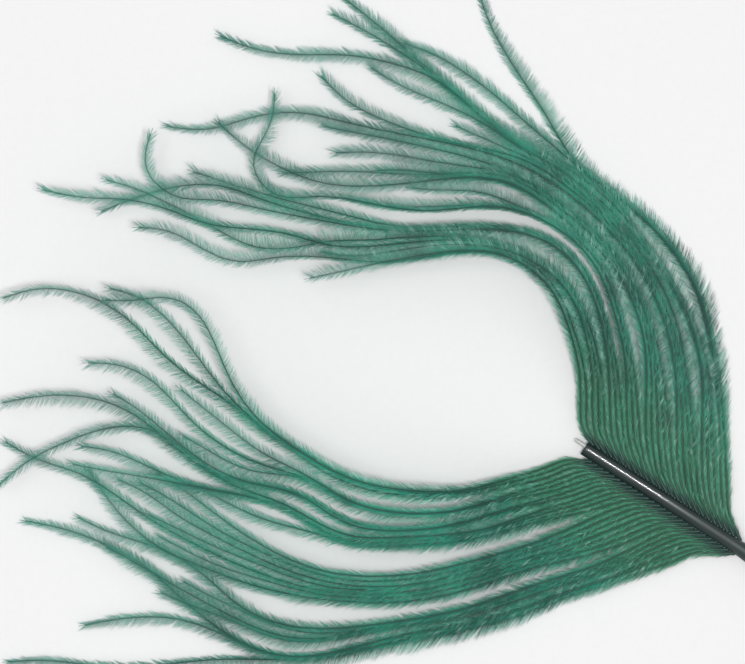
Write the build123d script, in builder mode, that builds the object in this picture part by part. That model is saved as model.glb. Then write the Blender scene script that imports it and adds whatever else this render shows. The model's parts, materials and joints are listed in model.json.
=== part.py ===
"""A length of dyed ostrich plume: a quill with its barbs, in five tufts that lift about the quill's sides.

Frame, in millimetres: the origin is the centre of the bare quill's free end, +Y runs up the quill,
+X is the right vane and +Z is the upper face. The plume lies on a surface at z = -STEM_RADIUS.
"""
from build123d import *
from math import sin, pi
import os

os.makedirs("parts", exist_ok=True)

# ---- driving dimensions ----------------------------------------------------------------------
STEM_RADIUS = 1.9           # bare round quill, where a holder grips it
STEM_LENGTH = 18.0          # its round part
LUMEN_RADIUS = 1.35         # open hollow at the free end
LUMEN_DEPTH = 9.0
CAP_BORE_RADIUS = 1.1       # narrower hollow behind it, crossed by the dried pulp caps
CAP_BORE_DEPTH = 17.0
CAP_PLACES = (10.5, 12.7, 14.9)
CAP_RISE = 0.6              # dome height and thickness of one cap
CAP_THICKNESS = 0.12
RACHIS_START = 17.0         # the rachis section begins inside the round part
PITH_START = 20.0           # white pith fills the shell from here to the cut end
RACHIS_END = 60.6           # the cut end
RACHIS_HALF_WIDTH = 1.4     # flat sides that carry the barbs
RACHIS_TOP = 1.25           # ridge along the upper face
RACHIS_DEPTH = 1.3          # underside of the rachis
NECK_END = 25.0             # where the round part has run out into the rachis
NECK_END_RADIUS = 1.1
CORTEX_WALL = 0.32          # horny shell round the pith
PITH_GAP = 0.02             # pith to shell
PITH_SINK = 0.4             # how far the pith stands back from the cut end
SLIVER_START = 60.22        # curled sliver of horn that stands out of the cut end
SLIVER_END = 63.1
SLIVER_RADIUS = 0.45
SLIVER_THICKNESS = 0.12
SLIVER_X = 0.5
SLIVER_Z = 0.1

ROOT_OUT = 0.15             # barb pivots stand this far outside the rachis side
ROOT_RADIUS = 0.22          # rounded end of a barb
ROOT_GAP = 0.06             # running clearance of a barb's end in the side groove
GROOVE_START = 23.0         # the two side grooves run from here to the cut end
ROOT_X = RACHIS_HALF_WIDTH + ROOT_OUT

RIGHT_FIRST_ROOT = 24.4     # Y of the lowest barb on each side, and the pitch along the quill
RIGHT_PITCH = 1.46
LEFT_FIRST_ROOT = 24.0
LEFT_PITCH = 1.36

# A barb's shaft: (fraction of its length, width across, height), tapering to the tip.
SHAFT = ((0.0, 0.26, 0.30), (0.02, 0.36, 0.52), (0.25, 0.36, 0.42), (0.6, 0.28, 0.30), (1.0, 0.14, 0.14))
SECTIONS = 20               # sections along one barb
SECTION_CROWDING = 1.15     # above 1, sections crowd towards the root

ARCH = 1.6                  # rise of the vane between the quill and the barb tips
ARCH_SPAN = 170.0           # length of the longest barb
LAYER_RAMP = 45.0           # barbs fan out to their own height over this first stretch
TIP_CLEAR = 0.12            # middle line of the lowest barb tip above the surface


# ---- barb routes, hand set, (x, y) -----------------------------------------------------------
# Each tuft gives its two edge barbs near the quill: the lower and the upper one. The barbs between
# follow both in proportion, and then each has its own points out to the tip.
RIGHT_OUTER_EDGES = (
    ((4.2, 28.2), (11.5, 34.0), (26.5, 45.0), (38.5, 58.5), (45.0, 74.0), (48.3, 91.0)),
    ((3.6, 51.0), (9.0, 56.2), (17.5, 62.4), (25.3, 70.0), (30.8, 79.4), (31.8, 90.5)),
)
RIGHT_INNER_EDGES = (
    ((3.6, 52.4), (8.8, 57.2), (17.0, 63.4), (24.4, 70.8), (29.8, 79.9), (30.9, 90.8)),
    ((3.2, 63.0), (7.0, 66.0), (12.5, 70.0), (18.0, 76.5), (22.3, 84.5), (23.3, 93.0)),
)
LEFT_OUTER_EDGES = (
    ((-4.4, 28.8), (-13.0, 36.0), (-27.5, 47.5), (-42.0, 58.5), (-56.5, 73.0), (-68.5, 89.0)),
    ((-4.7, 36.8), (-13.0, 42.5), (-26.0, 52.0), (-39.5, 63.5), (-51.0, 76.5), (-60.5, 91.0)),
)
LEFT_MIDDLE_EDGES = (
    ((-4.7, 38.3), (-12.5, 44.0), (-24.5, 53.5), (-37.0, 64.5), (-47.5, 77.0), (-56.5, 92.0)),
    ((-4.3, 46.3), (-10.5, 51.5), (-20.0, 58.5), (-30.0, 67.0), (-39.0, 78.0), (-46.0, 91.0)),
)
LEFT_INNER_EDGES = (
    ((-4.2, 47.7), (-10.0, 53.0), (-18.5, 61.0), (-28.0, 69.5), (-36.5, 80.5), (-43.0, 92.0)),
    ((-3.3, 61.5), (-8.0, 65.5), (-14.0, 71.0), (-21.5, 79.0), (-27.0, 88.0), (-30.0, 98.5)),
)

RIGHT_OUTER_TIPS = (
    ((52.5, 101), (56.5, 112.5), (60.5, 121), (66.5, 129)),
    ((48, 104), (50, 117), (50.3, 127), (48.5, 136)),
    ((45.5, 103), (45, 115), (46.7, 127), (48.8, 140), (50, 153)),
    ((45, 104), (45.5, 116), (46.5, 127), (46.8, 138), (45.8, 151.5)),
    ((44, 104), (44.8, 116), (45.3, 126), (42.5, 137), (39, 146), (34, 153.5), (31, 162), (29.8, 168)),
    ((43.3, 104), (43.8, 114), (42, 126), (41, 139)),
    ((42.3, 104), (41.3, 111), (40.2, 118.5)),
    ((40.5, 104), (38, 113), (35, 124), (33, 134), (34.5, 146.5)),
    ((39.5, 103), (37, 114), (32.5, 128), (28, 140), (23.5, 148.5), (14.5, 157), (8.5, 167)),
    ((38.5, 103), (35.5, 115), (30.5, 128), (25.5, 140.5)),
    ((37.5, 103), (33, 115), (27.5, 127), (22, 135.5)),
    ((36.5, 103), (30.5, 115), (23.5, 126.5), (16.5, 137), (13, 142)),
    ((35.5, 103), (31, 113.5), (27, 121.5), (23.5, 126.5)),
    ((34.7, 103), (29.5, 113), (22.5, 124), (16.5, 134), (14.1, 145), (15.3, 158.7)),
    ((33.5, 103), (29, 111), (24.5, 119)),
    ((31.2, 99.5), (27.3, 108), (22.8, 114.5), (18.6, 121.5), (16.2, 128)),
    ((29.8, 100), (24, 111), (19, 122), (13.5, 133), (9.3, 140), (10, 145.5), (16.5, 148), (27, 151.7)),
)
RIGHT_INNER_TIPS = (
    ((28.4, 100), (23, 110), (17.5, 120), (12, 131), (8, 142), (6, 149), (3.8, 157.5)),
    ((27, 100), (21.5, 110), (15.5, 120), (10.5, 131), (7, 141), (5, 149), (1, 156), (-4.5, 161.5),
     (-13.5, 168)),
    ((26, 100), (20.5, 109.5), (14, 119), (9, 129), (5, 140), (0.5, 152), (-2.5, 160), (0.5, 165.3),
     (7, 167.7)),
    ((25, 100), (19.5, 109), (12.5, 118), (5, 129), (-0.5, 135), (-2.8, 143), (-3.5, 152), (-4.3, 160),
     (-7, 171)),
    ((24.2, 100), (18.7, 108.5), (11.5, 117.5), (6.5, 126), (3.5, 135), (-1, 143), (-4.3, 151), (-6, 160),
     (-10.5, 169), (-15.5, 180.5)),
    ((23.3, 100), (17.5, 108.2), (10.5, 116), (4, 127.5)),
    ((22.3, 100), (16.5, 108), (9.5, 116), (3, 127), (-2, 134), (-6.5, 140), (-8, 150), (-11.8, 160.3)),
    ((21.3, 100), (15.5, 108), (8.5, 115.5), (2.5, 121.5), (-2, 126)),
)
LEFT_OUTER_TIPS = (
    ((-76.5, 99), (-84.5, 110), (-90, 119.5), (-94, 127.5), (-99.5, 135.5)),
    ((-70, 100), (-72.5, 109.5), (-77.5, 118), (-85, 126.5)),
    ((-68, 100), (-68.5, 112), (-67.8, 124), (-69.5, 137), (-73.5, 148)),
    ((-67.2, 101), (-69, 109), (-70.5, 117.5)),
    ((-66, 101), (-67.5, 113), (-68, 124), (-68.5, 131.5)),
    ((-64.5, 101), (-65.5, 108), (-66, 115)),
    ((-63, 101), (-62.3, 112), (-63, 121), (-65.5, 131), (-66.7, 139.5)),
)
LEFT_MIDDLE_TIPS = (
    ((-59.5, 101), (-61.5, 112), (-62.8, 123), (-61.5, 131), (-56.8, 143)),
    ((-57.5, 101), (-59.5, 110), (-60.5, 118), (-61, 124)),
    ((-56, 101), (-58, 112), (-58.8, 122), (-59, 131), (-58.5, 139), (-60.5, 149), (-61.7, 160)),
    ((-54.3, 101), (-56.5, 112), (-57.5, 120), (-58.5, 128)),
    ((-53, 101), (-54.8, 112), (-55.3, 122), (-55, 129), (-56, 137)),
    ((-51.3, 101), (-53.3, 112), (-53.3, 122), (-54, 133)),
    ((-49.3, 100), (-50.8, 110), (-50.5, 120), (-50.3, 131)),
)
LEFT_INNER_TIPS = (
    ((-46.3, 100), (-47.5, 109), (-48, 118), (-49.5, 126)),
    ((-42.8, 103), (-46, 113), (-48.8, 122), (-50.3, 133), (-52, 141), (-54.5, 146.5)),
    ((-41.5, 103), (-45.5, 113), (-49, 122), (-53, 133), (-56, 140), (-58.3, 146)),
    ((-40.5, 103.5), (-44.3, 114), (-45, 124), (-43.5, 133), (-45.5, 140), (-53.5, 147.5), (-61.5, 152.3),
     (-70.5, 155.2)),
    ((-39.3, 103), (-43.3, 113), (-45, 123), (-43.3, 134), (-43.8, 146), (-47.5, 154), (-56, 164)),
    ((-38, 103), (-42, 112), (-43.5, 121), (-42.5, 132), (-41.8, 146.8)),
    ((-37, 103.5), (-40, 112), (-40.8, 120), (-41.3, 130.5)),
    ((-36, 103.5), (-38.5, 112), (-39, 120), (-37.3, 131), (-35.3, 140), (-36.8, 149), (-39.8, 154)),
    ((-34, 105), (-35, 114), (-34.8, 123), (-33.5, 136)),
    ((-32.8, 106), (-33.5, 115), (-33.3, 124), (-32, 134), (-29, 143), (-27.3, 152), (-28.5, 162),
     (-38.3, 174.8)),
    ((-31.5, 106), (-31.8, 115), (-30, 126), (-26, 136), (-23.2, 145), (-24.8, 158.5)),
    ((-30.3, 108), (-28.5, 119), (-22.5, 130), (-18.2, 139), (-20, 147.5), (-24.5, 153), (-27.5, 158)),
)

# Tufts: side, number of the first barb, edge barbs, own points, height of the lowest layer, step per barb.
TUFTS = (
    (1, 1, RIGHT_OUTER_EDGES, RIGHT_OUTER_TIPS, -1.1, 0.45),
    (1, 18, RIGHT_INNER_EDGES, RIGHT_INNER_TIPS, 6.4, 0.5),
    (-1, 1, LEFT_OUTER_EDGES, LEFT_OUTER_TIPS, -0.1, 0.45),
    (-1, 8, LEFT_MIDDLE_EDGES, LEFT_MIDDLE_TIPS, 3.05, 0.45),
    (-1, 15, LEFT_INNER_EDGES, LEFT_INNER_TIPS, 6.2, 0.45),
)


def blend(low, high, share):
    """The point a given share of the way from low to high."""
    return tuple(a + (b - a) * share for a, b in zip(low, high))


def height(reach, layer):
    """Height of a barb's middle line at a distance from its root: an arch, plus its layer in the vane."""
    ramp = min(reach / LAYER_RAMP, 1.0)
    fan = ramp * ramp * (3 - 2 * ramp)
    floor = TIP_CLEAR - STEM_RADIUS
    return ARCH * sin(pi * min(reach / ARCH_SPAN, 1.0)) + fan * (layer + floor)


def barb_points(side, number, share, edges, own, layer):
    """A barb's route in space: its root on the quill, the tuft's flow, then its own points."""
    first, pitch = (RIGHT_FIRST_ROOT, RIGHT_PITCH) if side > 0 else (LEFT_FIRST_ROOT, LEFT_PITCH)
    flat = [(side * ROOT_X, first + (number - 1) * pitch)]
    flat += [blend(low, high, share) for low, high in zip(*edges)]
    flat += own
    points = []
    reach = 0.0
    for index, place in enumerate(flat):
        if index:
            reach += (Vector(*place) - Vector(*flat[index - 1])).length
        points.append(Vector(place[0], place[1], height(reach, layer)))
    return points


def shaft_size(fraction):
    """Width and height of a barb's shaft at a fraction of its length."""
    for (start, *size), (end, *next_size) in zip(SHAFT, SHAFT[1:]):
        if fraction <= end:
            return blend(size, next_size, (fraction - start) / (end - start))
    return SHAFT[-1][1:]


def make_barb(points):
    """One barb: a tapering shaft of elliptical section along its route, with a rounded end at the pivot."""
    with BuildPart() as barb:
        with BuildLine() as route:
            Spline(*points)
        for step in range(SECTIONS):
            fraction = (step / (SECTIONS - 1)) ** SECTION_CROWDING
            along = route.line % fraction
            across = along.cross(Vector(0, 0, 1))
            width, tall = shaft_size(fraction)
            with BuildSketch(Plane(route.line @ fraction, x_dir=across, z_dir=along)):
                Ellipse(width / 2, tall / 2)
        loft(ruled=True)
        with Locations(points[0]):
            Sphere(ROOT_RADIUS)
    return barb.part


# ---- quill -----------------------------------------------------------------------------------
def rachis_outline(inset):
    """The rachis section, set in from its outer face: flat sides, an upper ridge, a groove beneath."""
    side = RACHIS_HALF_WIDTH - inset
    top = RACHIS_TOP - inset
    bottom = -RACHIS_DEPTH + inset
    with BuildLine() as outline:
        Polyline(
            (0.35, top), (side - 0.25, 0.55), (side, 0.3), (side, -0.45), (side - 0.5, bottom),
            (0.35, bottom), (0, bottom + 0.35), (-0.35, bottom), (0.5 - side, bottom), (-side, -0.45),
            (-side, 0.3), (0.25 - side, 0.55), (-0.35, top), (0.35, top),
        )
    return outline.wire()


def across_quill(y):
    """The plane across the quill at a height y, with +X to the right and +Z up."""
    return Plane((0, y, 0), x_dir=(1, 0, 0), z_dir=(0, -1, 0))


with BuildPart() as rachis_cortex:
    with BuildSketch(across_quill(0)):
        Circle(STEM_RADIUS)
    extrude(amount=-STEM_LENGTH)
    with BuildSketch(across_quill(STEM_LENGTH)):
        Circle(STEM_RADIUS)
    with BuildSketch(across_quill(NECK_END)):
        Circle(NECK_END_RADIUS)
    loft()
    with BuildSketch(across_quill(RACHIS_START)):
        make_face(rachis_outline(0))
    extrude(amount=-(RACHIS_END - RACHIS_START))
    with BuildSketch(across_quill(0)):
        Circle(LUMEN_RADIUS)
    extrude(amount=-LUMEN_DEPTH, mode=Mode.SUBTRACT)
    with BuildSketch(across_quill(LUMEN_DEPTH)):
        Circle(CAP_BORE_RADIUS)
    extrude(amount=-(CAP_BORE_DEPTH - LUMEN_DEPTH), mode=Mode.SUBTRACT)
    with BuildSketch(across_quill(PITH_START)):
        make_face(rachis_outline(CORTEX_WALL))
    extrude(amount=-(RACHIS_END - PITH_START), mode=Mode.SUBTRACT)
    with BuildSketch(across_quill(GROOVE_START)):
        with Locations((ROOT_X, 0), (-ROOT_X, 0)):
            Circle(ROOT_RADIUS + ROOT_GAP)
    extrude(amount=-(RACHIS_END - GROOVE_START), mode=Mode.SUBTRACT)
rachis_cortex.part.label = "rachis_cortex"
export_step(rachis_cortex.part, "parts/rachis_cortex.step")

with BuildPart() as rachis_pith:
    with BuildSketch(across_quill(PITH_START + PITH_GAP)):
        make_face(rachis_outline(CORTEX_WALL + PITH_GAP))
    extrude(amount=-(RACHIS_END - PITH_START - PITH_GAP - PITH_SINK))
rachis_pith.part.label = "rachis_pith"
export_step(rachis_pith.part, "parts/rachis_pith.step")

cap_radius = CAP_BORE_RADIUS - PITH_GAP
with BuildPart() as pulp_caps:
    for place in CAP_PLACES:
        with BuildSketch(Plane.XY):
            with BuildLine():
                ThreePointArc((-cap_radius, place), (0, place + CAP_RISE), (cap_radius, place))
                Line((cap_radius, place), (cap_radius, place - CAP_THICKNESS))
                ThreePointArc(
                    (cap_radius, place - CAP_THICKNESS),
                    (0, place + CAP_RISE - CAP_THICKNESS),
                    (-cap_radius, place - CAP_THICKNESS),
                )
                Line((-cap_radius, place - CAP_THICKNESS), (-cap_radius, place))
            make_face()
            Rectangle(cap_radius, 2 * CAP_BORE_DEPTH, align=(Align.MAX, Align.MIN), mode=Mode.SUBTRACT)
    revolve(axis=Axis.Y)
pulp_caps.part.label = "pulp_caps"
export_step(pulp_caps.part, "parts/pulp_caps.step")

with BuildPart() as cut_end_sliver:
    with BuildSketch(across_quill(SLIVER_START)):
        with Locations((SLIVER_X, SLIVER_Z)):
            Circle(SLIVER_RADIUS)
            Circle(SLIVER_RADIUS - SLIVER_THICKNESS, mode=Mode.SUBTRACT)
            with Locations((0, -SLIVER_RADIUS)):
                Rectangle(2 * SLIVER_RADIUS, 2 * SLIVER_RADIUS, mode=Mode.SUBTRACT)
    extrude(amount=-(SLIVER_END - SLIVER_START))
    with BuildSketch(Plane.XY.offset(-STEM_RADIUS)):
        with Locations((SLIVER_X, SLIVER_END - SLIVER_RADIUS)):
            Circle(SLIVER_RADIUS)
            Rectangle(2 * SLIVER_RADIUS, RACHIS_END, align=(Align.CENTER, Align.MAX))
    extrude(amount=2 * STEM_RADIUS, mode=Mode.INTERSECT)
cut_end_sliver.part.label = "cut_end_sliver"
export_step(cut_end_sliver.part, "parts/cut_end_sliver.step")

# ---- barbs -----------------------------------------------------------------------------------
for side, first_number, edges, tips, lowest, layer_step in TUFTS:
    side_name = "right" if side > 0 else "left"
    for place, own in enumerate(tips):
        share = place / (len(tips) - 1)
        number = first_number + place
        route_points = barb_points(side, number, share, edges, own, lowest + place * layer_step)
        barb = make_barb(route_points)
        barb.label = f"barb_{side_name}_{number:02d}"
        export_step(barb, f"parts/{barb.label}.step")
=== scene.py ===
"""A length of dyed ostrich plume: its quill, two vanes of fluffy barbs, and the studio they lie in."""
import json
from math import pi, radians

import bpy
import numpy as np
from bpy.props import FloatProperty, FloatVectorProperty, IntProperty, PointerProperty
from mathutils import Matrix, Vector


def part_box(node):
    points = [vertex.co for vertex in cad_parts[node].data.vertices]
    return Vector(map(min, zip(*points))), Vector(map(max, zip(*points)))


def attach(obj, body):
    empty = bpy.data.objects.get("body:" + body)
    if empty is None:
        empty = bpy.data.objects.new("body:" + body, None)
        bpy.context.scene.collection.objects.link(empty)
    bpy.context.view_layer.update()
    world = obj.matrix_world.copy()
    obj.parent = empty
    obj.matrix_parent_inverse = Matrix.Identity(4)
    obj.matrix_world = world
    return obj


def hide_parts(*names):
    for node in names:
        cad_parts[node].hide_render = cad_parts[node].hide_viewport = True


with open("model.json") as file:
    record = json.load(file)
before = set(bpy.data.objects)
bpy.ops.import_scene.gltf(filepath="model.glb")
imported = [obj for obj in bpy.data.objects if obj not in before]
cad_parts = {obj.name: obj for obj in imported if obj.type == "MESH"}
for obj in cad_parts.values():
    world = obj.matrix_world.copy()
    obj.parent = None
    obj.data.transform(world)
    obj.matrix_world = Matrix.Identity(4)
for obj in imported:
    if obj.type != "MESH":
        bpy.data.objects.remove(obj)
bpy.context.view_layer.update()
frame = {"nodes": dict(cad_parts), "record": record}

bl_info = {
    "name": "Ostrich plume",
    "version": (1, 0, 0),
    "blender": (4, 5, 0),
    "location": "3D View > Sidebar > Plume",
    "description": "Builds the looks of a dyed ostrich plume round its packed frame",
    "category": "Object",
}

MM = 0.001
STEM_LOW, STEM_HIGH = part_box("rachis_cortex")
PITH_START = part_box("rachis_pith")[0].y
SURFACE = STEM_LOW.z                     # the plume lies on this height
STEM_RADIUS = STEM_HIGH.x
CUT_END = STEM_HIGH.y
RESTING_GAP = 0.03 * MM                  # fluff stays this far above the surface


# ---- sizes and colours a user would change ---------------------------------------------------
class PlumeSettings(bpy.types.PropertyGroup):
    """Sizes of the barbules, colours of the dye, and colours of painted light: glints, and light through
    thin hair ends.
    """

    barbule_pitch: FloatProperty(
        name="Barbule pitch", description="Distance between barbules along one side of a barb",
        default=0.075 * MM, subtype="DISTANCE", unit="LENGTH")
    barbule_length: FloatProperty(
        name="Barbule length", description="Length of the barbules midway along a barb",
        default=3.1 * MM, subtype="DISTANCE", unit="LENGTH")
    barbule_width: FloatProperty(
        name="Barbule width", description="Thickness of a barbule where it leaves the shaft",
        default=0.09 * MM, subtype="DISTANCE", unit="LENGTH")
    barbule_slant: FloatProperty(
        name="Barbule slant", description="Angle between a barbule and its shaft",
        default=radians(45), subtype="ANGLE", unit="ROTATION")
    lock_length: FloatProperty(
        name="Lock length", description="Stretch of shaft whose barbules cling into one lock",
        default=0.75 * MM, subtype="DISTANCE", unit="LENGTH")
    root_green: FloatVectorProperty(
        name="Root green", description="Yellow green of the fluff beside the quill",
        default=(0.10, 0.42, 0.20), subtype="COLOR", size=3, min=0, max=1)
    vane_green: FloatVectorProperty(
        name="Vane green", description="Emerald of the vanes",
        default=(0.034, 0.50, 0.335), subtype="COLOR", size=3, min=0, max=1)
    deep_green: FloatVectorProperty(
        name="Deep green", description="Darker green of patches that took more dye",
        default=(0.008, 0.18, 0.125), subtype="COLOR", size=3, min=0, max=1)
    shaft_green: FloatVectorProperty(
        name="Shaft green", description="Green black of the barbs' shafts",
        default=(0.006, 0.045, 0.034), subtype="COLOR", size=3, min=0, max=1)
    # pale hair ends: partly their own paler green, partly painted light shining through the thin hairs
    tip_green_and_painted_light: FloatVectorProperty(
        name="Tip green", description="Lighter green of the barbules' thin ends",
        default=(0.30, 0.84, 0.67), subtype="COLOR", size=3, min=0, max=1)
    # painted glint: a whitish green painted on a few locks in place of highlights
    painted_glint_green: FloatVectorProperty(
        name="Glint green", description="Whitish green of the few locks that shine",
        default=(0.62, 0.92, 0.82), subtype="COLOR", size=3, min=0, max=1)
    end_green: FloatVectorProperty(
        name="End green", description="Grey green of the barbs' far ends",
        default=(0.24, 0.58, 0.50), subtype="COLOR", size=3, min=0, max=1)
    horn: FloatVectorProperty(
        name="Horn", description="Green black of the dyed quill",
        default=(0.008, 0.018, 0.017), subtype="COLOR", size=3, min=0, max=1)


class StudioSettings(bpy.types.PropertyGroup):
    """Camera and light."""

    camera_distance: FloatProperty(
        name="Camera distance", description="Height of the camera above the plume",
        default=0.9, subtype="DISTANCE", unit="LENGTH")
    field_width: FloatProperty(
        name="Field width", description="Width of surface that the view takes in",
        default=149 * MM, subtype="DISTANCE", unit="LENGTH")
    aim: FloatVectorProperty(
        name="Aim", description="Point at the middle of the view",
        default=(-3.4 * MM, 108.9 * MM, 3 * MM), subtype="XYZ", unit="LENGTH", size=3)
    roll: FloatProperty(
        name="Roll", description="Turn of the view's upper edge from the quill, towards the right vane",
        default=radians(57.2), subtype="ANGLE", unit="ROTATION")
    light_size: FloatProperty(
        name="Light size", description="Side of the soft square light",
        default=0.6, subtype="DISTANCE", unit="LENGTH")
    light_power: FloatProperty(
        name="Light power", description="Watts of the soft light", default=4.0, min=0)
    flash_size: FloatProperty(
        name="Flash size", description="Side of the small light beside the camera",
        default=0.04, subtype="DISTANCE", unit="LENGTH")
    flash_power: FloatProperty(
        name="Flash power", description="Watts of the small light", default=2.6, min=0)
    sky: FloatProperty(
        name="Sky", description="Strength of the even light from all round", default=0.47, min=0)
    seed: IntProperty(name="Seed", description="Seed of the fluff's irregularity", default=7)


# ---- shader maths ----------------------------------------------------------------------------
class Term:
    """One value socket of a material. Arithmetic on it adds Math nodes."""

    def __init__(self, finish, socket):
        self.finish = finish
        self.socket = socket

    def _with(self, operation, *values):
        node = self.finish.node("Math", {"operation": operation}, dict(enumerate(values)))
        return Term(self.finish, node.outputs[0])

    def __add__(self, other):
        return self._with("ADD", self, other)

    def __radd__(self, other):
        return self._with("ADD", other, self)

    def __sub__(self, other):
        return self._with("SUBTRACT", self, other)

    def __rsub__(self, other):
        return self._with("SUBTRACT", other, self)

    def __mul__(self, other):
        return self._with("MULTIPLY", self, other)

    def __rmul__(self, other):
        return self._with("MULTIPLY", other, self)

    def clamped(self):
        return self._with("MINIMUM", self._with("MAXIMUM", self, 0.0), 1.0)


class Finish:
    """A material in the making, with one Principled shader."""

    def __init__(self, name, **constants):
        self.material = bpy.data.materials.new(name)
        self.material.use_nodes = True
        self.tree = self.material.node_tree
        self.shader = self.tree.nodes["Principled BSDF"]
        for socket, value in constants.items():
            self.shader.inputs[socket.replace("_", " ")].default_value = value

    def node(self, kind, settings=None, inputs=None):
        """Adds one node: its type, then its settings, then the values or links of its sockets."""
        node = self.tree.nodes.new("ShaderNode" + kind)
        for name, value in (settings or {}).items():
            setattr(node, name, value)
        for name, value in (inputs or {}).items():
            self.feed(node.inputs[name], value)
        return node

    def feed(self, socket, value):
        """Links a term or a socket to an input, or sets the input's value."""
        if isinstance(value, Term):
            value = value.socket
        if isinstance(value, bpy.types.NodeSocket):
            self.tree.links.new(value, socket)
        else:
            socket.default_value = value

    def place(self, scale=(1, 1, 1)):
        """Object coordinates, stretched by a Mapping node."""
        coordinates = self.node("TexCoord").outputs["Object"]
        return self.node("Mapping", inputs={"Vector": coordinates, "Scale": scale}).outputs[0]

    def along_quill(self):
        """The height up the quill, which is the second object coordinate."""
        coordinates = self.node("TexCoord").outputs["Object"]
        return Term(self, self.node("SeparateXYZ", inputs={0: coordinates}).outputs[1])

    def attribute(self, name):
        return Term(self, self.node("Attribute", {"attribute_name": name}).outputs["Fac"])

    def noise(self, scale, detail=2.0, vector=None):
        where = vector or self.place()
        made = self.node("TexNoise", inputs={"Vector": where, "Scale": scale, "Detail": detail})
        return Term(self, made.outputs[0])

    def ease(self, value, low, high):
        """0 below low, 1 above high, and a smooth step between them."""
        settings = {"interpolation_type": "SMOOTHSTEP"}
        made = self.node("MapRange", settings, {0: value, 1: low, 2: high})
        return Term(self, made.outputs[0])

    def mix(self, share, first, second):
        """The colour between two colours."""
        node = self.node("Mix", {"data_type": "RGBA"}, {0: share})
        for socket, colour in ((6, first), (7, second)):
            if isinstance(colour, bpy.types.NodeSocket):
                self.feed(node.inputs[socket], colour)
            else:
                self.feed(node.inputs[socket], (*colour[:3], 1.0))
        return node.outputs[2]

    def bump(self, height, distance, strength=0.6):
        inputs = {"Height": height, "Distance": distance, "Strength": strength}
        return self.node("Bump", inputs=inputs).outputs[0]

    def surface(self, **sockets):
        for name, value in sockets.items():
            self.feed(self.shader.inputs[name.replace("_", " ")], value)
        return self.material


# ---- materials -------------------------------------------------------------------------------
def barb_dye_and_painted_light(settings):
    """Dyed barb: yellow green by the quill, emerald beyond, dark along the shaft, pale at hair ends that are
    partly painted light through the thin hairs, and painted glints on a few locks.
    """
    finish = Finish("barb_dye_and_painted_light", Roughness=0.42, Sheen_Weight=0.15, Sheen_Roughness=0.35)
    reach = finish.attribute("reach")
    out = finish.attribute("out")
    tint = finish.attribute("tint")
    ends = finish.ease(finish.attribute("share"), 0.55, 1.0)
    blotch = finish.noise(120.0, 3.0) * 0.55 + finish.noise(28.0, 1.0) * 0.45
    near_quill = (1.0 - finish.ease(reach, 6 * MM, 32 * MM)) * 0.7
    at_quill = 1.0 - finish.ease(reach, 0.2 * MM, 3 * MM)
    vane = finish.mix((blotch * 4.0 - 1.45).clamped(), settings.deep_green, settings.vane_green)
    vane = finish.mix(near_quill, vane, settings.root_green)
    # paler hair ends: partly their own colour, partly painted light through the thin hairs
    light = finish.ease(out, 0.05, 0.85) * (0.02 + tint * 0.98)
    vane = finish.mix(light.clamped(), vane, settings.tip_green_and_painted_light)
    # painted glint: the most brightly tinted locks are painted whitish green, as highlights
    painted_glint = finish.ease(tint, 0.78, 1.0) * finish.ease(out, 0.2, 0.5)
    vane = finish.mix(painted_glint * 0.7, vane, settings.painted_glint_green)
    vane = finish.mix(ends * 0.4, vane, settings.end_green)
    dark = (1.0 - finish.ease(out, -0.1, 0.16)) * 0.9 * (1.0 - ends * 0.2) + at_quill * 0.7
    colour = finish.mix(dark.clamped(), vane, settings.shaft_green)
    return finish.surface(Base_Color=colour)


def quill_horn(settings):
    """Quill horn: green black with fine lines along it, glossy up to the cut end, dull on the stem."""
    finish = Finish("quill_horn", IOR=1.55)
    lines = finish.noise(900.0, 3.0, finish.place((1, 0.035, 1)))
    clouds = finish.noise(120.0, 2.0)
    dull = 1.0 - finish.ease(finish.along_quill(), 30 * MM, 43 * MM)
    grey = (finish.ease(clouds, 0.35, 0.75) * 0.3 + lines * 0.3 + dull * 0.25).clamped()
    colour = finish.mix(grey, settings.horn, (0.024, 0.048, 0.043))
    rough = 0.24 + clouds * 0.12 + lines * 0.06 + dull * 0.18
    coat = 0.18 - dull * 0.15
    normal = finish.bump(lines, 0.03 * MM)
    return finish.surface(Base_Color=colour, Roughness=rough, Coat_Weight=coat, Normal=normal)


def pith_foam():
    """Pith: off-white foam, matt, tinted by the dye."""
    finish = Finish("pith_foam", Roughness=0.9)
    cells = finish.noise(3500.0, 2.0)
    colour = finish.mix(cells, (0.35, 0.42, 0.36), (0.70, 0.74, 0.66))
    return finish.surface(Base_Color=colour, Normal=finish.bump(cells, 0.05 * MM))


def sliver_horn():
    """Sliver: thin pale horn with streaks along it."""
    finish = Finish("sliver_horn", Roughness=0.3, Coat_Weight=0.3)
    streaks = finish.noise(1500.0, 2.0, finish.place((1, 0.1, 1)))
    colour = finish.mix(streaks, (0.30, 0.33, 0.32), (0.72, 0.72, 0.68))
    return finish.surface(Base_Color=colour)


def floor_card():
    """Studio card: plain white with the faintest tooth."""
    finish = Finish("floor_card", Roughness=0.85)
    tooth = finish.noise(900.0, 2.0)
    colour = finish.mix(tooth, (0.88, 0.88, 0.88), (0.91, 0.91, 0.91))
    return finish.surface(Base_Color=colour)


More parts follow.
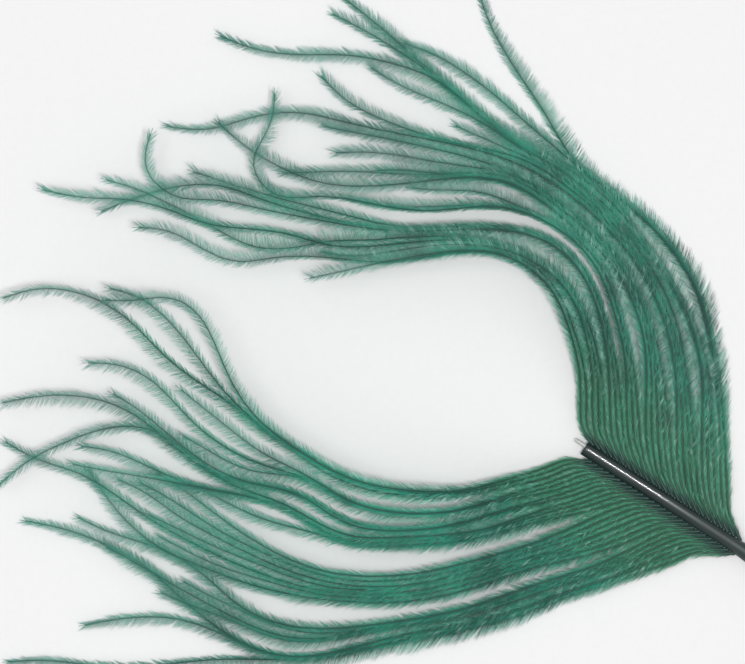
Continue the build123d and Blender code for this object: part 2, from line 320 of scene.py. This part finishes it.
# ---- mesh work -------------------------------------------------------------------------------
def add_mesh(name, corners, quads, triangles, material, values=None):
    """Puts corner and face arrays into a mesh object, with named values on its corners."""
    mesh = bpy.data.meshes.new(name)
    loops = np.concatenate([quads.ravel(), triangles.ravel()]).astype(np.int32)
    sizes = np.concatenate([np.full(len(quads), 4), np.full(len(triangles), 3)])
    starts = np.concatenate([[0], np.cumsum(sizes)[:-1]]).astype(np.int32)
    mesh.vertices.add(len(corners))
    mesh.vertices.foreach_set("co", corners.astype(np.float32).ravel())
    mesh.loops.add(len(loops))
    mesh.loops.foreach_set("vertex_index", loops)
    mesh.polygons.add(len(sizes))
    mesh.polygons.foreach_set("loop_start", starts)
    mesh.polygons.foreach_set("use_smooth", np.full(len(sizes), True))
    for key, numbers in (values or {}).items():
        layer = mesh.attributes.new(key, "FLOAT", "POINT")
        layer.data.foreach_set("value", numbers.astype(np.float32))
    mesh.update(calc_edges=True)
    mesh.validate()
    mesh.materials.append(material)
    made = bpy.data.objects.new(name, mesh)
    bpy.context.scene.collection.objects.link(made)
    return made


def lattice(rings, around):
    """Quads between rings: corner (i, k) joins (i, k + 1), (i + 1, k + 1) and (i + 1, k)."""
    i, k = np.meshgrid(np.arange(rings - 1), np.arange(around), indexing="ij")
    here = i * around + k
    beside = i * around + (k + 1) % around
    return np.stack([here, beside, beside + around, here + around], axis=-1).reshape(-1, 4)


def fan(ring, pole):
    """Triangles from a ring of corners to one pole."""
    return np.stack([ring, np.roll(ring, -1), np.full(len(ring), pole)], axis=-1)


# ---- barbs -----------------------------------------------------------------------------------
GROUP_REACH = 0.75 * MM            # wider than one section, and narrower than the step to the next


def section_centres(node):
    """Middle points of a CAD barb's sections, from its root outwards.

    A barb's corners lie in small groups, one group to a section. The walk takes the corner nearest to
    where it stands, averages all corners within GROUP_REACH of that one, and goes on from their mean.
    """
    mesh = frame["nodes"][node].data
    corners = np.empty(len(mesh.vertices) * 3, np.float32)
    mesh.vertices.foreach_get("co", corners)
    corners = np.unique(corners.reshape(-1, 3).astype(float).round(7), axis=0)
    here = np.array([0.0, corners[:, 1].min(), 0.0])
    centres = []
    while len(corners):
        away = np.linalg.norm(corners - here, axis=1)
        nearest = corners[away.argmin()]
        group = np.linalg.norm(corners - nearest, axis=1) < GROUP_REACH
        here = corners[group].mean(axis=0)
        centres.append(here)
        corners = corners[~group]
    return np.array(centres)


FINE_STEPS = 8                     # steps of the spline to one sample


def smooth_line(points, count):
    """A natural cubic spline through the points, by chord length, at equal steps of its length.

    Between two points it is a p + b q + ((a^3 - a) m + (b^3 - b) n) h^2 / 6, where p and q are the points, m
    and n the bends there, h the chord between them, b the share of the chord passed, and a = 1 - b.
    """
    chord = np.concatenate([[0], np.cumsum(np.linalg.norm(np.diff(points, axis=0), axis=1))])
    step = np.diff(chord)
    inner = len(points) - 2
    system = np.diag(2 * (step[:-1] + step[1:])) + np.diag(step[1:-1], 1) + np.diag(step[1:-1], -1)
    slope = np.diff(points, axis=0) / step[:, None]
    bend = np.zeros_like(points)
    bend[1:1 + inner] = np.linalg.solve(system, 6 * np.diff(slope, axis=0))
    at = np.linspace(0, chord[-1], FINE_STEPS * count)
    i = np.clip(np.searchsorted(chord, at, side="right") - 1, 0, len(step) - 1)
    a = ((chord[i + 1] - at) / step[i])[:, None]
    b = 1 - a
    cubic = ((a ** 3 - a) * bend[i] + (b ** 3 - b) * bend[i + 1]) * step[i][:, None] ** 2 / 6
    fine = a * points[i] + b * points[i + 1] + cubic
    length = np.concatenate([[0], np.cumsum(np.linalg.norm(np.diff(fine, axis=0), axis=1))])
    even = np.linspace(0, length[-1], count)
    line = np.stack([np.interp(even, length, fine[:, k]) for k in range(3)], axis=1)
    return line, length[-1]


def directions(line):
    """Unit vectors along a line, level across it to the right, and square to both."""
    along = np.gradient(line, axis=0)
    along /= np.linalg.norm(along, axis=1)[:, None]
    across = np.cross(along, [0.0, 0.0, 1.0])
    across /= np.linalg.norm(across, axis=1)[:, None]
    return along, across, np.cross(across, along)


def by_place(place, places, values):
    """Values at places in millimetres along a barb, with straight stretches between."""
    return np.interp(place, np.array(places) * MM, values)


FOOT_DEPTH = 0.3 * MM              # a shaft starts this far inside the quill
SHAFT_SIDES = 8
SHAFT_OUT, SHAFT_TINT = -0.2, 0.5  # a shaft's values of out, which is below 0 for it alone, and tint


def shaft_sizes(place, length):
    """Half width and half height of a barb's shaft: a broad foot, then a taper to the tip."""
    taper = np.interp(place / length, [0.0, 0.25, 0.6, 1.0], [1.0, 0.75, 0.55, 0.25])
    wide = by_place(place, [0, 1, 4], [0.40, 0.33, 0.19]) * taper * MM
    tall = by_place(place, [0, 1, 4], [0.26, 0.30, 0.24]) * taper * MM
    return wide, tall


def make_shaft(line, length):
    """Corners, faces and values of the shaft.

    It is an ellipse carried along the line, centre + wide cos(turn) across + tall sin(turn) above, with a
    pole at each end.
    """
    line = np.concatenate([line[:1] - directions(line)[0][:1] * FOOT_DEPTH, line])
    along, across, above = directions(line)
    reach = np.append(0, np.linspace(0, length, len(line) - 1))
    wide, tall = shaft_sizes(reach, length)
    turn = np.linspace(0, 2 * pi, SHAFT_SIDES, endpoint=False)
    level = across[:, None] * (wide[:, None] * np.cos(turn))[..., None]
    upright = above[:, None] * (tall[:, None] * np.sin(turn))[..., None]
    body = (line[:, None] + level + upright).reshape(-1, 3)
    ends = np.stack([line[0] - along[0] * wide[0], line[-1] + along[-1] * wide[-1]])
    corners = np.concatenate([body, ends])
    last = len(body)
    first_ring = np.arange(SHAFT_SIDES)
    last_ring = np.arange(last - SHAFT_SIDES, last)
    triangles = np.concatenate([fan(first_ring, last), fan(last_ring[::-1], last + 1)])
    quads = lattice(len(line), SHAFT_SIDES)
    reach = np.concatenate([np.repeat(reach, SHAFT_SIDES), [0, length]])
    values = {
        "reach": reach,
        "share": reach / length,
        "out": np.full_like(reach, SHAFT_OUT),
        "tint": np.full_like(reach, SHAFT_TINT),
    }
    return corners, quads, triangles, values


def smooth_step(value, low, high):
    """0 below low, 1 above high, and a smooth rise between."""
    t = np.clip((value - low) / (high - low), 0, 1)
    return t * t * (3 - 2 * t)


STRAND_DRIFT = 1.2 * MM            # a strand strays this far, and a barb within it this far
BARB_DRIFT = 0.4 * MM


def gather_share(place, length):
    """How far a barb has gone over to its strand: not by the quill, wholly midway, not at the end."""
    return smooth_step(place, 9 * MM, 34 * MM) * (1 - smooth_step(place / length, 0.62, 0.92))


def wander(place, size, waves):
    """A slow sideways drift along a barb: two sine waves that grow from nothing by the quill."""
    drift = np.sin(place / (15 * MM) + waves[0]) * 0.6 + np.sin(place / (8.5 * MM) + waves[1]) * 0.4
    return size * drift * smooth_step(place, 12 * MM, 50 * MM)


def gather_strand(lines, lengths, cling, rng):
    """Draws the barbs of a strand together in plan.

    Each goes the share cling of the way to their mean line, and strays sideways with the strand and alone.
    """
    shared = min(len(line) for line in lines)
    mean = np.mean([line[:shared] for line in lines], axis=0)
    place = np.linspace(0, 1, shared) * min(lengths)
    pull = cling * gather_share(place, min(lengths))[:, None] * np.array([1.0, 1.0, 0.0])
    strand_waves = rng.uniform(0, 2 * pi, 2)
    for line, length in zip(lines, lengths):
        line[:shared] += (mean - line[:shared]) * pull
        place = np.linspace(0, length, len(line))
        drift = wander(place, STRAND_DRIFT, strand_waves)
        drift = drift + wander(place, BARB_DRIFT, rng.uniform(0, 2 * pi, 2))
        line += directions(line)[1] * (drift * gather_share(place, length))[:, None]


TIP_BRUSH = 1.4 * MM               # the last barbules reach this far past their roots
BARBULE_RINGS = np.array([0.0, 0.5])
BARBULE_SIDES = 3
LOCKS_APART = 300                  # keeps the numbers of the two sides' locks apart
LOCK_SPREAD = HAIR_SPREAD = radians(4)   # unevenness of the slant, from lock to lock and hair to hair
LOCK_LIFT, HAIR_LIFT = radians(9), radians(10)


def at_places(field, at):
    """Rows of a field at fractional row numbers."""
    rows = np.arange(len(field))
    return np.stack([np.interp(at, rows, field[:, k]) for k in range(3)], axis=1)


def make_barbules(line, length, distal, inside, settings, rng):
    """Corners, faces and values of one barb's barbules, as arrays.

    A barbule leaves the shaft at its slant. The point at a share q of its length L is
    root + L (q d + q^2 (k a - g z)) + c q^2 a, where d is its first direction, a the shaft's own
    direction, z up, k and g its bend and droop, and c what draws it to the middle of its lock.
    The distal side, towards the feather's tip, has shorter barbules in tighter locks. inside tells, for the
    proximal and the distal side, how much a neighbour there keeps them short and close; below 0 they stand
    free, longer and wider, and their colour is painted lighter, as painted light through the loose fluff.
    """
    count = int(length / settings.barbule_pitch)
    side = np.repeat([-1.0, 1.0], count)
    total = 2 * count
    place = np.tile(np.arange(count), 2) + rng.uniform(0, 1, total)
    place = place * (length - TIP_BRUSH) / count
    share = place / length
    tight = (side * distal + 1) / 2
    at = share * (len(line) - 1)
    root, a, s, n = (at_places(field, at) for field in (line, *directions(line)))
    wide, tall = shaft_sizes(place, length)
    root = root + s * (side * wide * 0.5)[:, None] - n * (tall * 0.6)[:, None]
    kept_short = np.where(tight > 0.5, inside[1], inside[0]) * gather_share(place, length)
    free = kept_short < 0

    wave = rng.uniform(0, 2 * pi, 4)
    uneven = 0.35 * np.sin(place / (4 * MM) + wave[3] * side)
    lock = place / settings.lock_length + uneven + (side + 2) * LOCKS_APART
    number = np.floor(lock).astype(int)
    own = rng.standard_normal((number.max() + 1, 4))[number]
    pull = (number + 0.5 - lock) * settings.lock_length * (0.4 + 0.35 * tight) * np.where(free, 0.6, 1.0)

    swell = 1 + 0.08 * np.sin(place / (9 * MM) + wave[0]) + 0.06 * np.sin(place / (3.1 * MM) + wave[1])
    size = by_place(place, [0, 1.5, 6, 25], [0.45, 0.62, 0.8, 1.0])
    size = size * np.interp(share, [0.4, 0.75, 1], [1, 0.9, 0.72])
    size = size * swell * rng.uniform(0.78, 1.05, total) * (1 + 0.06 * own[:, 0]) * (1.1 - 0.22 * tight)
    size = settings.barbule_length * size * (1 - np.where(free, 0.12, 0.3) * kept_short)

    slant = by_place(place, [0, 3, 12, 30], [0.42, 0.5, 0.7, 0.95])
    slant = slant * np.interp(share, [0.93, 1], [1, 0.45])
    slant = slant * (0.9 + 0.22 * np.sin(place / (27 * MM) + wave[2] + side)) * (1 - 0.35 * kept_short)
    slant = slant * (1.12 - 0.2 * tight) * np.interp(share, [0.45, 0.75], [1, 1.25])
    slant = settings.barbule_slant * slant + LOCK_SPREAD * own[:, 1] * np.where(free, 0.5, 1.0)
    slant = slant + HAIR_SPREAD * rng.standard_normal(total)
    lift = by_place(place, [0, 20], [radians(-13), radians(-4)])
    lift = lift + LOCK_LIFT * own[:, 2] + HAIR_LIFT * rng.standard_normal(total)
    d = a * np.cos(slant)[:, None] + s * (side * np.sin(slant))[:, None]
    d = d * np.cos(lift)[:, None] + n * np.sin(lift)[:, None]
    bend = rng.uniform(0.02, 0.22, total)[:, None, None]
    droop = rng.uniform(-0.04, 0.12, total)[:, None, None]

    q = np.append(BARBULE_RINGS, 1.0)[None, :, None]
    curl = q * d[:, None] + q ** 2 * (bend * a[:, None] - droop * np.array([0, 0, 1.0]))
    middles = root[:, None] + size[:, None, None] * curl + pull[:, None, None] * q ** 2 * a[:, None]

    flat = np.cross(d, n)
    flat /= np.linalg.norm(flat, axis=1)[:, None]
    edge = np.cross(flat, d)
    turn = np.arange(BARBULE_SIDES) * 2 * pi / BARBULE_SIDES
    spoke = flat[:, None] * np.cos(turn)[:, None] + edge[:, None] * np.sin(turn)[:, None]
    thick = 0.5 * settings.barbule_width * rng.uniform(0.75, 1.25, total)[:, None]
    thick = thick * (1 - 0.45 * BARBULE_RINGS) * (1 - 0.35 * share[:, None])
    rings = middles[:, :-1, None] + thick[:, :, None, None] * spoke[:, None]
    corners = np.concatenate([rings.reshape(total, -1, 3), middles[:, -1:]], axis=1)
    each = corners.shape[1]
    corners = corners.reshape(-1, 3)
    corners[:, 2] = np.maximum(corners[:, 2], SURFACE + RESTING_GAP)

    first = (np.arange(total) * each)[:, None, None]
    quads = (lattice(len(BARBULE_RINGS), BARBULE_SIDES)[None, :, ::-1] + first).reshape(-1, 4)
    last_ring = np.arange(each - 1 - BARBULE_SIDES, each - 1)
    caps = np.concatenate([fan(last_ring, each - 1), [[2, 1, 0]]])
    triangles = (caps[None, :, ::-1] + first).reshape(-1, 3)
    out = np.tile(np.append(np.repeat(BARBULE_RINGS, BARBULE_SIDES), 1.0), total)
    tint = rng.uniform(0.26, 0.52) + 0.26 * own[:, 3] + 0.26 * rng.standard_normal(total)
    # 0.28 * free: free-standing hairs painted lighter, as painted light through the loose fluff
    tint = tint + 0.28 * free - 0.2 * share
    values = {
        "reach": np.repeat(place, each),
        "share": np.repeat(share, each),
        "out": out * np.repeat(size / settings.barbule_length, each),
        "tint": np.repeat(np.clip(tint, 0, 1), each),
    }
    return corners, quads, triangles, values


def make_barb(node, body, line, length, distal, inside, settings, material, seed):
    """One barb: the shaft with its barbules, in place of the plain CAD barb."""
    rng = np.random.default_rng(seed)
    shaft = make_shaft(line, length)
    fluff = make_barbules(line, length, distal, inside, settings, rng)
    corners = np.concatenate([shaft[0], fluff[0]])
    quads = np.concatenate([shaft[1], fluff[1] + len(shaft[0])])
    triangles = np.concatenate([shaft[2], fluff[2] + len(shaft[0])])
    values = {key: np.concatenate([shaft[3][key], fluff[3][key]]) for key in fluff[3]}
    piece = add_mesh(node.replace("barb_", "fluffy_barb_"), corners, quads, triangles, material, values)
    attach(piece, body)
    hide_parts(node)


# strands, tuft by tuft, from the bare stem to the cut end: how many barbs, and how closely they cling
STRANDS = {
    "right_outer_tuft": ((2, 0.60), (3, 0.60), (4, 0.45), (5, 0.50), (3, 0.70)),
    "right_inner_tuft": ((3, 0.65), (3, 0.60), (2, 0.60)),
    "left_outer_tuft": ((3, 0.60), (4, 0.45)),
    "left_middle_tuft": ((7, 0.30),),
    "left_inner_tuft": ((4, 0.60), (2, 0.90), (3, 0.85), (3, 0.75)),
}
# how much the barbules are kept short: 1 between the barbs of a strand, below 0 where they stand free
STRAND_EDGE = {"right": -0.8, "left": 0.25}
FREE_EDGE = -0.8
PARTED_EDGE = 1.1
# the outermost barbs, and those at the parting of the right vane, with that side: 0 proximal, 1 distal
FREE_EDGES = {"barb_right_01": 0, "barb_left_01": 0, "barb_left_26": 1}
PARTING = {"barb_right_17": 1, "barb_right_18": 0}
SECTION_STEP = 1.6 * MM
LEFT_NUMBERS = 100


def own_number(node):
    """A number for each barb: 1 to 25 in the right vane, 101 to 126 in the left one."""
    side, number = node.split("_")[1:]
    return int(number) + (LEFT_NUMBERS if side == "left" else 0)


def drawn_line(node):
    """A barb's middle line and its length, from the CAD node."""
    centres = section_centres(node)
    rough_length = np.linalg.norm(np.diff(centres, axis=0), axis=1).sum()
    return smooth_line(centres, int(rough_length / SECTION_STEP))


def make_tuft(body, settings, seed):
    """All barbs of one tuft, riding on its body, gathered in strands."""
    material = bpy.data.materials.get("barb_dye_and_painted_light") or barb_dye_and_painted_light(settings)
    nodes = sorted(frame["record"]["behaviour"]["bodies"][body])
    side = body.split("_")[0]
    distal = -1 if side == "right" else 1
    at_edge = STRAND_EDGE[side]
    first = 0
    for size, cling in STRANDS[body]:
        strand = nodes[first:first + size]
        lines, lengths = zip(*(drawn_line(node) for node in strand))
        rng = np.random.default_rng((seed, own_number(strand[0])))
        gather_strand(lines, lengths, cling, rng)
        for place, node in enumerate(strand):
            inside = [1.0 if place > 0 else at_edge, 1.0 if place < size - 1 else at_edge]
            if node in FREE_EDGES:
                inside[FREE_EDGES[node]] = FREE_EDGE
            if node in PARTING:
                inside[PARTING[node]] = PARTED_EDGE
            number = (seed, own_number(node), 1)
            make_barb(node, body, lines[place], lengths[place], distal, inside, settings, material, number)
        first += size


# ---- quill -----------------------------------------------------------------------------------
WALL = 0.32 * MM                   # horny shell round the pith
PITH_GAP = 0.05 * MM               # from the foot of the pith to the horn behind it
HALF_WIDTH = 1.4 * MM              # of the rachis, and its ridge and underside from the quill's middle
RIDGE = 1.25 * MM
UNDERSIDE = 1.3 * MM
RIDGE_LEAN = 0.2 * MM
GROOVE = 0.35 * MM
LUMEN, LUMEN_END = 1.35 * MM, 9 * MM           # hollow of the stem, then the narrower bore of the pulp caps
CAP_BORE, CAP_BORE_END = 1.1 * MM, 17 * MM
NECK_START, NECK_LENGTH = 17 * MM, 9 * MM      # where the round stem runs out into the rachis
STEM_RINGS, RACHIS_RINGS = 2 * MM, 27 * MM     # where the rings of the plain stem and rachis begin
EDGE = 0.06 * MM                   # chamfer of the quill's edges
BORE_POLE = 0.02 * MM              # radius of the last ring in the bore, round its pole
QUILL_AROUND = 48


def quill_ring(y, share, scale, inset=0.0):
    """One ring round the quill at a height y.

    share 0 is a circle of radius scale. share 1 is the rachis: x = w cos^0.8, z = h sin^1.5 above, where the
    ridge leans to the right, and z = h sin^0.8 below, hollowed by a groove, all set in by inset.
    """
    turn = np.linspace(0, 2 * pi, QUILL_AROUND, endpoint=False)
    c, s = np.cos(turn), np.sin(turn)
    x = (HALF_WIDTH - inset) * np.sign(c) * np.abs(c) ** 0.8 + RIDGE_LEAN * np.maximum(s, 0) ** 2
    z = np.where(s > 0, (RIDGE - inset) * np.abs(s) ** 1.5, -(UNDERSIDE - inset) * np.abs(s) ** 0.8)
    z = z + GROOVE * np.exp(-((c / 0.22) ** 2)) * (s < 0)
    x = x * share + scale * c * (1 - share)
    z = z * share + scale * s * (1 - share)
    return np.stack([x, np.full_like(x, y), z], axis=1)


def make_quill(material):
    """The horn: rings from the bottom of the hollow stem, out over the outside, and into the cut end."""
    pith = PITH_START - PITH_GAP
    plan = [(CAP_BORE_END, 0, BORE_POLE), (CAP_BORE_END, 0, CAP_BORE), (LUMEN_END, 0, CAP_BORE)]
    plan += [(LUMEN_END, 0, LUMEN), (EDGE, 0, LUMEN), (0, 0, LUMEN + EDGE)]
    plan += [(0, 0, STEM_RADIUS - EDGE), (EDGE, 0, STEM_RADIUS)]
    plan += [(y, 0, STEM_RADIUS) for y in np.linspace(STEM_RINGS, NECK_START, 12)]
    neck = np.linspace(0.08, 1, 14)
    plan += [(NECK_START + NECK_LENGTH * t, smooth_step(t, 0, 1), STEM_RADIUS) for t in neck]
    plan += [(y, 1, STEM_RADIUS) for y in np.linspace(RACHIS_RINGS, CUT_END - EDGE, 40)]
    plan += [(CUT_END, 1, STEM_RADIUS, EDGE), (CUT_END, 1, STEM_RADIUS, WALL - EDGE)]
    plan += [(CUT_END - EDGE, 1, STEM_RADIUS, WALL), (pith, 1, STEM_RADIUS, WALL)]
    rings = np.concatenate([quill_ring(*row) for row in plan])
    poles = np.array([[0, CAP_BORE_END, 0], [0, pith, 0]])
    corners = np.concatenate([rings, poles])
    last = len(rings)
    start = np.arange(QUILL_AROUND)
    end = np.arange(last - QUILL_AROUND, last)
    triangles = np.concatenate([fan(start[::-1], last), fan(end, last + 1)])
    quads = lattice(len(plan), QUILL_AROUND)
    piece = add_mesh("horn_quill", corners, quads[:, ::-1], triangles[:, ::-1], material)
    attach(piece, "quill")
    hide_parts("rachis_cortex")


def refinish(node, material):
    """Gives a CAD node its material."""
    carried = frame["nodes"][node]
    carried.data.materials.clear()
    carried.data.materials.append(material)


# ---- stage -----------------------------------------------------------------------------------
FLOOR_REACH = 3.0
FLOOR_GAP = 0.02 * MM
LENS_FILM = 36                     # millimetres across
KEY_PLACE = Vector((-0.10, 0.22, 1.2))          # of the soft light, from the aim
FLASH_STEP = -6 * MM               # place along the quill of the small light, as high as the camera


def make_floor():
    """A wide level card just under the plume."""
    x, y = np.meshgrid([-FLOOR_REACH, FLOOR_REACH], [-FLOOR_REACH, FLOOR_REACH])
    corners = np.stack([x.ravel(), y.ravel(), np.full(4, SURFACE - FLOOR_GAP)], axis=1)
    floor = add_mesh("floor", corners, np.array([[0, 1, 3, 2]]), np.empty((0, 3), int), floor_card())


def add_light(name, place, aim, size, power):
    """A soft square light at a place, facing a point."""
    lamp = bpy.data.lights.new(name, "AREA")
    lamp.size = size
    lamp.energy = power
    holder = bpy.data.objects.new(name, lamp)
    holder.location = place
    holder.rotation_euler = (Vector(aim) - Vector(place)).to_track_quat("-Z", "Y").to_euler()
    bpy.context.scene.collection.objects.link(holder)


def add_camera(studio):
    """A long lens straight above the plume."""
    lens = bpy.data.cameras.new("camera")
    lens.sensor_width = LENS_FILM
    lens.lens = LENS_FILM * studio.camera_distance / studio.field_width
    lens.clip_end = 20
    holder = bpy.data.objects.new("camera", lens)
    aim = Vector(studio.aim)
    above = Matrix.Translation(aim + Vector((0, 0, studio.camera_distance)))
    holder.matrix_world = above @ Matrix.Rotation(-studio.roll, 4, "Z")
    bpy.context.scene.collection.objects.link(holder)
    bpy.context.scene.camera = holder


# ---- operators -------------------------------------------------------------------------------
class PLUME_OT_quill(bpy.types.Operator):
    """Builds the quill and gives its inner pieces their finish"""

    bl_idname = "plume.quill"
    bl_label = "Quill"

    def execute(self, context):
        settings = context.scene.plume
        make_quill(quill_horn(settings))
        foam = pith_foam()
        refinish("rachis_pith", foam)
        refinish("pulp_caps", foam)
        refinish("cut_end_sliver", sliver_horn())
        return {"FINISHED"}


class PLUME_OT_right_vane(bpy.types.Operator):
    """Builds the fluffy barbs of the right vane"""

    bl_idname = "plume.right_vane"
    bl_label = "Right vane"

    def execute(self, context):
        for tuft in ("right_outer_tuft", "right_inner_tuft"):
            make_tuft(tuft, context.scene.plume, context.scene.plume_studio.seed)
        return {"FINISHED"}


class PLUME_OT_left_vane(bpy.types.Operator):
    """Builds the fluffy barbs of the left vane"""

    bl_idname = "plume.left_vane"
    bl_label = "Left vane"

    def execute(self, context):
        for tuft in ("left_outer_tuft", "left_middle_tuft", "left_inner_tuft"):
            make_tuft(tuft, context.scene.plume, context.scene.plume_studio.seed)
        return {"FINISHED"}


class PLUME_OT_stage(bpy.types.Operator):
    """Sets the floor, the lights and the camera"""

    bl_idname = "plume.stage"
    bl_label = "Stage"

    def execute(self, context):
        studio = context.scene.plume_studio
        aim = Vector(studio.aim)
        make_floor()
        add_light("soft_key", aim + KEY_PLACE, aim, studio.light_size, studio.light_power)
        flash = Vector((0, FLASH_STEP, studio.camera_distance))
        add_light("flash", flash, aim, studio.flash_size, studio.flash_power)
        context.scene.view_settings.view_transform = "Standard"
        world = bpy.data.worlds.new("studio_air")
        world.use_nodes = True
        world.node_tree.nodes["Background"].inputs["Color"].default_value = (1, 1, 1, 1)
        world.node_tree.nodes["Background"].inputs["Strength"].default_value = studio.sky
        context.scene.world = world
        add_camera(studio)
        return {"FINISHED"}


class PLUME_PT_panel(bpy.types.Panel):
    """Sizes, colours and the steps that build the plume"""

    bl_label = "Ostrich plume"
    bl_idname = "PLUME_PT_panel"
    bl_space_type = "VIEW_3D"
    bl_region_type = "UI"
    bl_category = "Plume"

    def draw(self, context):
        column = self.layout.column()
        for settings in (context.scene.plume, context.scene.plume_studio):
            for name in settings.__annotations__:
                column.prop(settings, name)
        for step in STEPS:
            column.operator(step.bl_idname)


STEPS = (PLUME_OT_stage, PLUME_OT_quill, PLUME_OT_right_vane, PLUME_OT_left_vane)
CLASSES = (PlumeSettings, StudioSettings, *STEPS, PLUME_PT_panel)


def register():
    for made in CLASSES:
        bpy.utils.register_class(made)
    bpy.types.Scene.plume = PointerProperty(type=PlumeSettings)
    bpy.types.Scene.plume_studio = PointerProperty(type=StudioSettings)


def unregister():
    del bpy.types.Scene.plume_studio
    del bpy.types.Scene.plume
    for made in reversed(CLASSES):
        bpy.utils.unregister_class(made)


def main():
    """Registers the add-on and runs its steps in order."""
    register()
    bpy.ops.plume.stage()
    bpy.ops.plume.quill()
    bpy.ops.plume.right_vane()
    bpy.ops.plume.left_vane()


if __name__ == "__main__":
    main()
